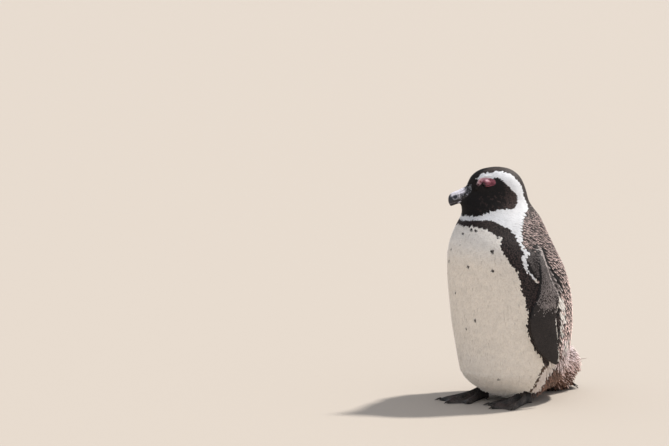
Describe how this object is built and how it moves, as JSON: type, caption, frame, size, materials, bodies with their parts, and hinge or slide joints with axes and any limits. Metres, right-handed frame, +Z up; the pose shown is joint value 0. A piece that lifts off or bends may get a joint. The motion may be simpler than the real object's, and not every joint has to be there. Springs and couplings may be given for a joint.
{
  "type": "african penguin",
  "caption": "Adult African penguin standing at rest, neck drawn in, head turned a little to its right and bill lowered, flippers folded against its sides.",
  "frame": {"origin": "on the floor, under the middle of the bird's bounding box", "axes": "+Z up; the breast and toes face -Y; the bird's left side is +X"},
  "size_m": [0.243, 0.3228, 0.4355],
  "materials": {
    "plumage_dark": "matte black-brown feathers of the crown, face mask, breast band and back",
    "plumage_white": "soft off-white feathers of the collar, breast, belly and flanks",
    "plumage_rump": "ruffled pinkish-brown feathers with pale tips, over stiff dark quills",
    "flipper_feather": "short scale-like dark grey-brown feathers with a pale trailing edge",
    "bill_horn": "blue-black horn with a pale grey band and a worn, shiny ridge",
    "eye": "wet dark brown eyeball with a black pupil",
    "foot_skin": "scaly black skin, mottled grey",
    "claw_horn": "smooth black horn"
  },
  "bodies": {
    "root": {"head": "plumage_dark", "neck": "plumage_white", "trunk": "plumage_white", "leg_left": "plumage_white", "leg_right": "plumage_white", "tail": "plumage_rump", "flipper_left": "flipper_feather", "flipper_right": "flipper_feather", "bill_upper": "bill_horn", "bill_lower": "bill_horn", "eye_left": "eye", "eye_right": "eye", "foot_left": "foot_skin", "foot_right": "foot_skin", "claw_left_inner": "claw_horn", "claw_left_middle": "claw_horn", "claw_left_outer": "claw_horn", "claw_left_hind": "claw_horn", "claw_right_inner": "claw_horn", "claw_right_middle": "claw_horn", "claw_right_outer": "claw_horn", "claw_right_hind": "claw_horn"}
  },
  "joints": []
}
